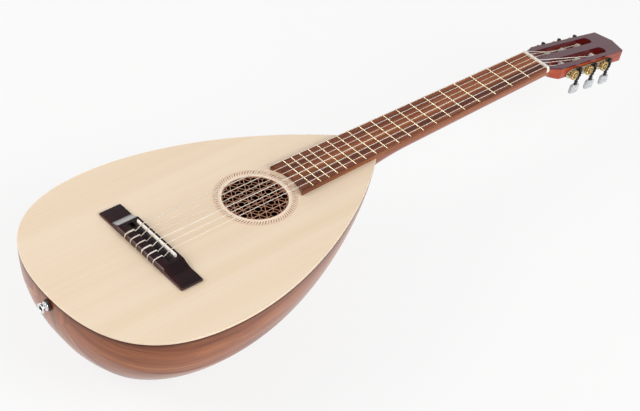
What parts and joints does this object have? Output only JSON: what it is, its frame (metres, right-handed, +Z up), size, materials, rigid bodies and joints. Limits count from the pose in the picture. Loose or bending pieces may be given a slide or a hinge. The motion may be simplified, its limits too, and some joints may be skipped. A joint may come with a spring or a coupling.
{
  "type": "lute guitar",
  "caption": "Fretted string instrument with a pear-shaped round back of staves, flat table with carved rose, slotted head and worm-geared tuners.",
  "frame": {"origin": "on the surface the instrument lies on, under the middle of its outline, at the lowest point of the round back", "axes": "+X from the head to the tail, +Y to the treble side, +Z up out of the table"},
  "size_m": [0.9866, 0.3206, 0.1544],
  "materials": {
    "spruce_top": "satin spruce, cream with fine straight grain",
    "walnut_back": "glossy lacquered walnut, reddish brown",
    "dark_edge": "dark reddish-brown edge strip",
    "mahogany": "glossy reddish mahogany",
    "rosewood_board": "open-grained streaked rosewood",
    "black_veneer": "glossy near-black wood",
    "carved_rose": "carved light brown wood",
    "bone_white": "cream polished bone",
    "clear_nylon": "clear pale nylon",
    "wound_string": "silver-plated winding",
    "gold_plate": "gold-plated and polished",
    "black_shaft": "black satin steel",
    "chrome": "polished chrome",
    "pearl_button": "translucent pearl white"
  },
  "bodies": {
    "instrument": {"soundboard": "spruce_top", "rosette_inlay": "spruce_top", "brace_1": "spruce_top", "brace_2": "spruce_top", "brace_3": "spruce_top", "rib_1": "walnut_back", "rib_2": "walnut_back", "rib_3": "walnut_back", "rib_4": "walnut_back", "rib_5": "walnut_back", "rib_6": "walnut_back", "rib_7": "walnut_back", "tail_cap": "walnut_back", "rim_strip": "dark_edge", "neck": "mahogany", "headstock": "mahogany", "neck_block": "mahogany", "tail_block": "mahogany", "fingerboard": "rosewood_board", "head_veneer": "black_veneer", "bridge": "black_veneer", "rose": "carved_rose", "nut": "bone_white", "saddle": "bone_white", "string_1": "clear_nylon", "string_2": "clear_nylon", "string_3": "clear_nylon", "string_4": "wound_string", "string_5": "wound_string", "string_6": "wound_string", "tuner_plate_treble": "gold_plate", "tuner_plate_bass": "gold_plate", "endpin_jack": "chrome", "jack_washer": "chrome"},
    "tuner_1_button": {"worm_1": "black_shaft", "button_1": "pearl_button"},
    "tuner_1_roller": {"gear_1": "gold_plate", "roller_1": "bone_white"},
    "tuner_2_button": {"worm_2": "black_shaft", "button_2": "pearl_button"},
    "tuner_2_roller": {"gear_2": "gold_plate", "roller_2": "bone_white"},
    "tuner_3_button": {"worm_3": "black_shaft", "button_3": "pearl_button"},
    "tuner_3_roller": {"gear_3": "gold_plate", "roller_3": "bone_white"},
    "tuner_4_button": {"worm_4": "black_shaft", "button_4": "pearl_button"},
    "tuner_4_roller": {"gear_4": "gold_plate", "roller_4": "bone_white"},
    "tuner_5_button": {"worm_5": "black_shaft", "button_5": "pearl_button"},
    "tuner_5_roller": {"gear_5": "gold_plate", "roller_5": "bone_white"},
    "tuner_6_button": {"worm_6": "black_shaft", "button_6": "pearl_button"},
    "tuner_6_roller": {"gear_6": "gold_plate", "roller_6": "bone_white"}
  },
  "joints": [
    {"name": "tuner_1_turn", "type": "hinge", "parent": "instrument", "child": "tuner_1_button", "pos_m": [-0.37903, 0.03633, 0.12396], "axis": [-0.1805, 0, 0.9836], "continuous": true},
    {"name": "tuner_1_roller_turn", "type": "hinge", "parent": "instrument", "child": "tuner_1_roller", "pos_m": [-0.36905, 0.03038, 0.1258], "axis": [-0.0244, 0.9997, -0.0045], "continuous": true},
    {"name": "tuner_2_turn", "type": "hinge", "parent": "instrument", "child": "tuner_2_button", "pos_m": [-0.41305, 0.03547, 0.11772], "axis": [-0.1805, 0, 0.9836], "continuous": true},
    {"name": "tuner_2_roller_turn", "type": "hinge", "parent": "instrument", "child": "tuner_2_roller", "pos_m": [-0.40307, 0.02952, 0.11955], "axis": [-0.0244, 0.9997, -0.0045], "continuous": true},
    {"name": "tuner_3_turn", "type": "hinge", "parent": "instrument", "child": "tuner_3_button", "pos_m": [-0.44707, 0.03461, 0.11148], "axis": [-0.1805, 0, 0.9836], "continuous": true},
    {"name": "tuner_3_roller_turn", "type": "hinge", "parent": "instrument", "child": "tuner_3_roller", "pos_m": [-0.43709, 0.02866, 0.11331], "axis": [-0.0244, 0.9997, -0.0045], "continuous": true},
    {"name": "tuner_4_turn", "type": "hinge", "parent": "instrument", "child": "tuner_4_button", "pos_m": [-0.44707, -0.03461, 0.11148], "axis": [-0.1805, 0, 0.9836], "continuous": true},
    {"name": "tuner_4_roller_turn", "type": "hinge", "parent": "instrument", "child": "tuner_4_roller", "pos_m": [-0.43709, -0.02866, 0.11331], "axis": [0.0244, 0.9997, 0.0045], "continuous": true},
    {"name": "tuner_5_turn", "type": "hinge", "parent": "instrument", "child": "tuner_5_button", "pos_m": [-0.41305, -0.03547, 0.11772], "axis": [-0.1805, 0, 0.9836], "continuous": true},
    {"name": "tuner_5_roller_turn", "type": "hinge", "parent": "instrument", "child": "tuner_5_roller", "pos_m": [-0.40307, -0.02952, 0.11955], "axis": [0.0244, 0.9997, 0.0045], "continuous": true},
    {"name": "tuner_6_turn", "type": "hinge", "parent": "instrument", "child": "tuner_6_button", "pos_m": [-0.37903, -0.03633, 0.12396], "axis": [-0.1805, 0, 0.9836], "continuous": true},
    {"name": "tuner_6_roller_turn", "type": "hinge", "parent": "instrument", "child": "tuner_6_roller", "pos_m": [-0.36905, -0.03038, 0.1258], "axis": [0.0244, 0.9997, 0.0045], "continuous": true}
  ],
  "couplings": [
    {"joint": "tuner_1_roller_turn", "follows": "tuner_1_turn", "ratio": -0.071429},
    {"joint": "tuner_2_roller_turn", "follows": "tuner_2_turn", "ratio": -0.071429},
    {"joint": "tuner_3_roller_turn", "follows": "tuner_3_turn", "ratio": -0.071429},
    {"joint": "tuner_4_roller_turn", "follows": "tuner_4_turn", "ratio": 0.071429},
    {"joint": "tuner_5_roller_turn", "follows": "tuner_5_turn", "ratio": 0.071429},
    {"joint": "tuner_6_roller_turn", "follows": "tuner_6_turn", "ratio": 0.071429}
  ]
}
